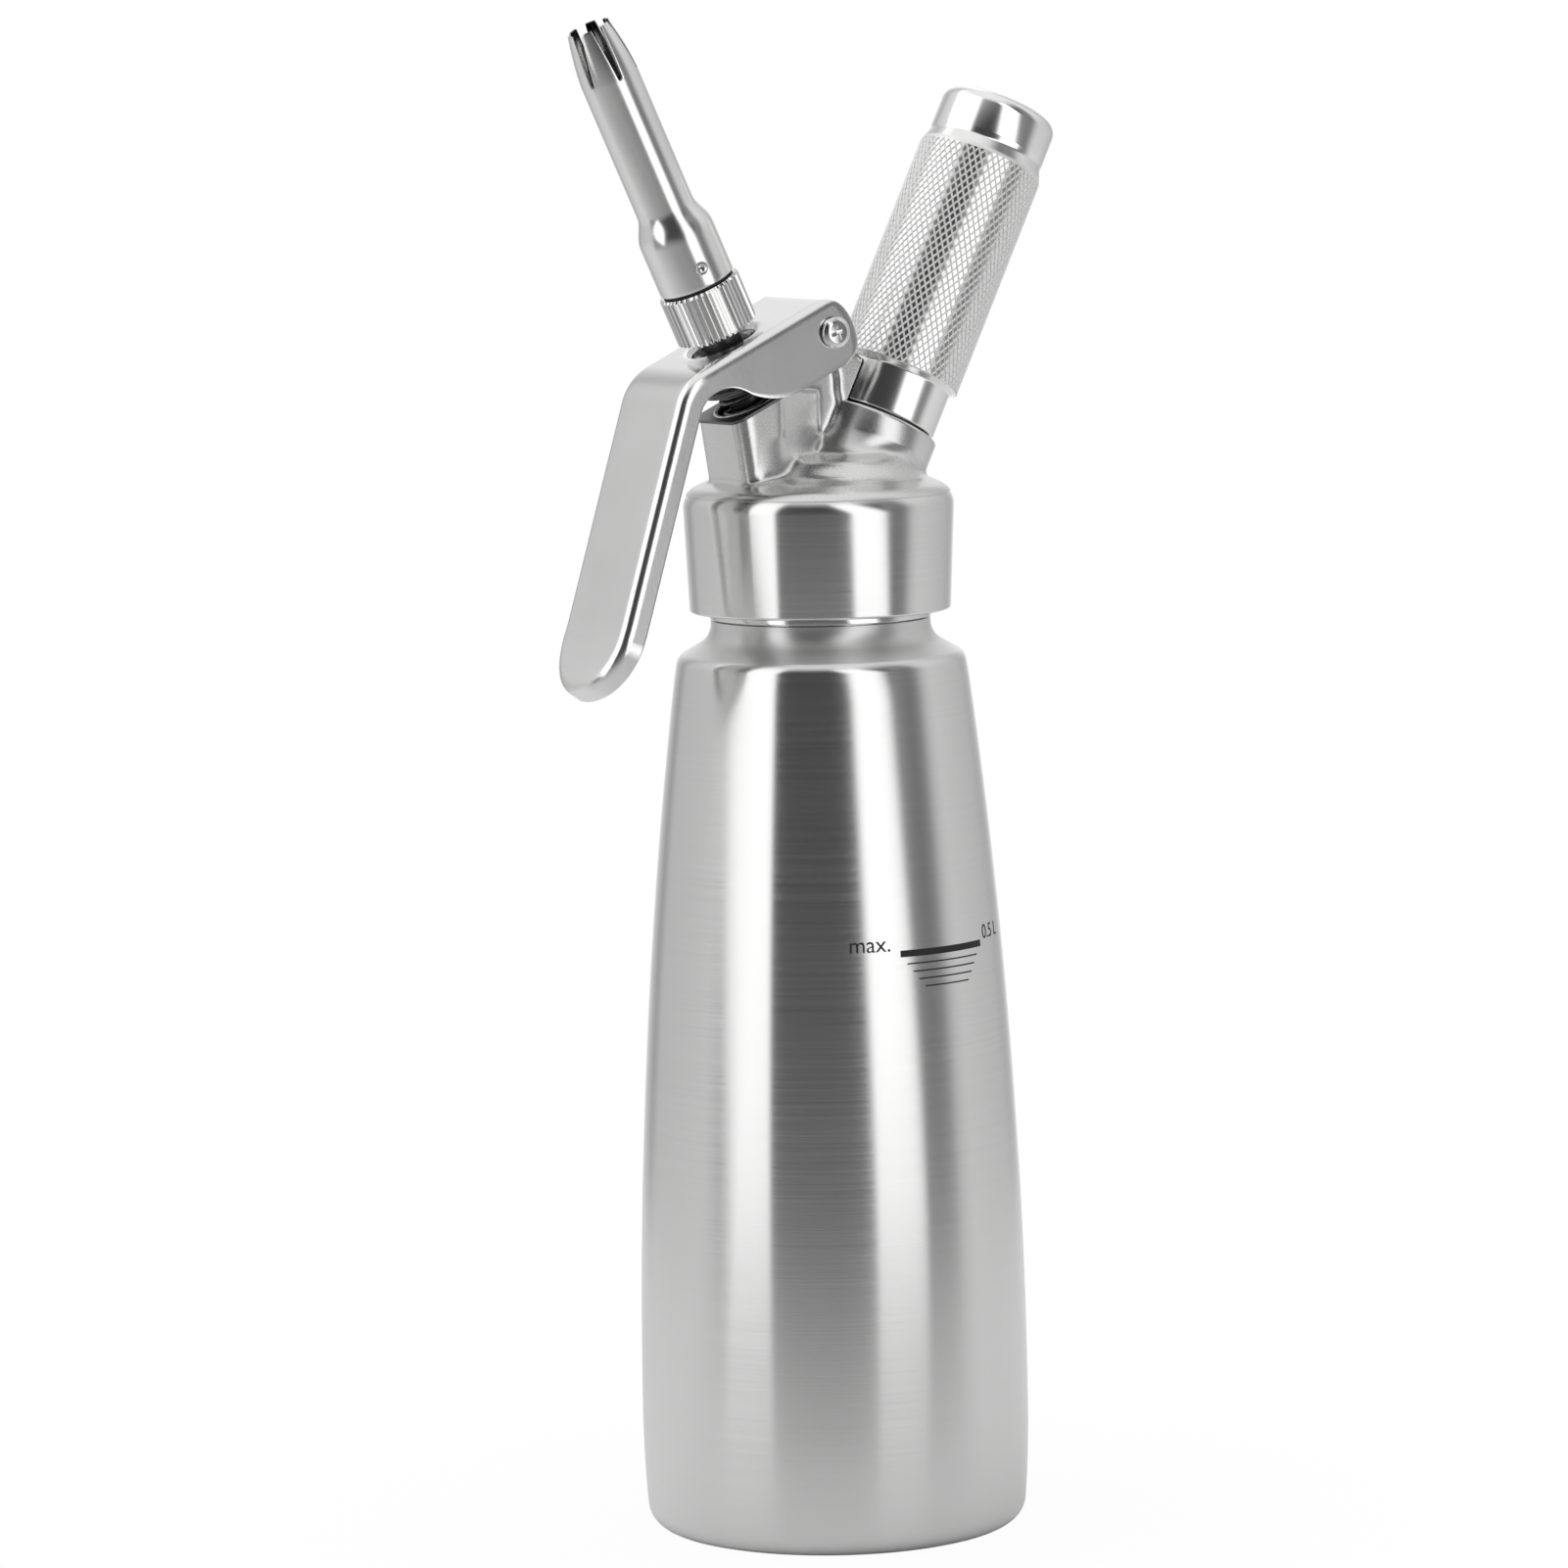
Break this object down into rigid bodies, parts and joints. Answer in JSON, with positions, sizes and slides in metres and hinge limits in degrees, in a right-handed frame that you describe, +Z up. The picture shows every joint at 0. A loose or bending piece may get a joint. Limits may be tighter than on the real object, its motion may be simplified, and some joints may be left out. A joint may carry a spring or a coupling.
{
  "type": "whipped cream dispenser",
  "caption": "Tapered steel bottle with a screwed cast head, a squeeze lever that opens a leaning nozzle valve, and a screwed holder for a gas charger.",
  "frame": {"origin": "centre of the bottle's flat base, on the surface that it stands on", "axes": "+Z up along the bottle's axis; the nozzle and the lever lean towards -X and the charger holder towards +X, all in the plane Y = 0"},
  "size_m": [0.1117, 0.077, 0.2999],
  "materials": {
    "bottle_steel": "brushed round the axis",
    "polished_steel": "polished",
    "cast_steel": "cast and tumbled, skirt brushed",
    "knurled_steel": "knurled and brushed",
    "dark_steel": "darkened, satin",
    "spring_steel": "drawn wire",
    "brass": "turned",
    "black_rubber": "matte",
    "red_silicone": "matte",
    "grey_silicone": "matte"
  },
  "bodies": {
    "bottle": {"bottle_body": "bottle_steel", "neck_ring": "polished_steel"},
    "gasket": {"head_gasket": "red_silicone"},
    "head": {"head_casting": "cast_steel", "pivot_bush": "brass", "pin_holder": "brass", "pierce_pin": "polished_steel", "check_valve": "grey_silicone", "charger_seal": "black_rubber", "valve_spring": "spring_steel"},
    "lever": {"lever": "polished_steel", "pivot_screw": "polished_steel", "pivot_nut": "polished_steel"},
    "valve": {"valve_stem": "dark_steel", "valve_seal": "grey_silicone", "valve_nut": "polished_steel", "stem_ring": "black_rubber", "tip_adapter": "polished_steel"},
    "tip_seal": {"tip_seal": "black_rubber"},
    "nozzle": {"nozzle_tip": "polished_steel"},
    "charger": {"gas_charger": "cast_steel"},
    "holder": {"charger_holder": "knurled_steel"}
  },
  "joints": [
    {"name": "head_lift", "type": "slide", "parent": "bottle", "child": "gasket", "axis": [0, 0, 1], "range_m": [0, 0.0137]},
    {"name": "head_turn", "type": "hinge", "parent": "gasket", "child": "head", "pos_m": [0, 0, 0.19], "axis": [0, 0, 1], "range_deg": [0, 1240]},
    {"name": "lever_squeeze", "type": "hinge", "parent": "head", "child": "lever", "pos_m": [-0.00299, 0, 0.23797], "axis": [0, -1, 0], "range_deg": [0, 7.5]},
    {"name": "valve_press", "type": "slide", "parent": "head", "child": "valve", "axis": [0.421, 0, -0.907], "range_m": [0, 0.00298], "stiffness_N_per_m": 2000, "springref_m": -0.006, "deforming": ["valve_spring"]},
    {"name": "tip_lift", "type": "slide", "parent": "valve", "child": "tip_seal", "axis": [-0.421, 0, 0.907], "range_m": [0, 0.0073]},
    {"name": "tip_turn", "type": "hinge", "parent": "tip_seal", "child": "nozzle", "pos_m": [-0.02702, 0, 0.24891], "axis": [-0.421, 0, 0.907], "range_deg": [0, 1320]},
    {"name": "charger_lift", "type": "slide", "parent": "head", "child": "charger", "axis": [0.4446, 0, 0.8957], "range_m": [0, 0.0085]},
    {"name": "holder_turn", "type": "hinge", "parent": "charger", "child": "holder", "pos_m": [0.01512, 0, 0.22115], "axis": [0.4446, 0, 0.8957], "range_deg": [0, 1230]}
  ],
  "couplings": [
    {"joint": "head_turn", "follows": "head_lift", "rad_per_m": 1570.8},
    {"joint": "lever_squeeze", "follows": "valve_press", "rad_per_m": 43.86},
    {"joint": "tip_turn", "follows": "tip_lift", "rad_per_m": 3141.6},
    {"joint": "holder_turn", "follows": "charger_lift", "rad_per_m": 2513.3}
  ]
}
